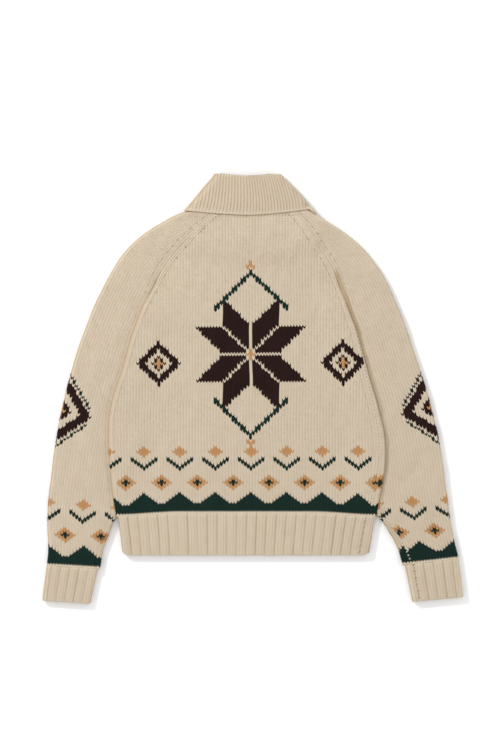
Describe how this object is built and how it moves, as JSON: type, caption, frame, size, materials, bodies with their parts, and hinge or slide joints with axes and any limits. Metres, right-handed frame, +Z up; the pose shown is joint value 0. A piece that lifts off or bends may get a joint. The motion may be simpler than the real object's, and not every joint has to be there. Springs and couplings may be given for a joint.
{
  "type": "raglan cowichan cardigan",
  "caption": "Heavy knitted raglan cardigan lying flat and face down, with a folded rib collar, ribbed hem and cuffs and a buttoned front.",
  "frame": {"origin": "middle of the garment's outline seen from above, on the surface that it lies on", "axes": "+X towards the wearer's right, +Y from the hem to the neck, +Z up out of the back"},
  "size_m": [0.7806, 0.7962, 0.0226],
  "materials": {
    "knit": "thick cream wool in stocking stitch with brown, green and tan patterning",
    "sleeve_knit": "thick cream wool in stocking stitch with brown, green and tan patterning",
    "rib": "thick cream wool, broad rib",
    "collar_rib": "thick cream wool, fine rib",
    "band_knit": "thick cream wool, garter stitch",
    "button": "dark brown, softly polished"
  },
  "bodies": {
    "root": {"back": "knit", "front_left": "knit", "front_right": "knit", "sleeve_left": "sleeve_knit", "sleeve_right": "sleeve_knit", "hem_rib_back": "rib", "hem_rib_front_left": "rib", "hem_rib_front_right": "rib", "cuff_left": "rib", "cuff_right": "rib", "collar": "collar_rib", "band_left": "band_knit", "band_right": "band_knit", "button_1": "button", "button_2": "button", "button_3": "button", "button_4": "button", "button_5": "button", "button_6": "button"}
  },
  "joints": []
}
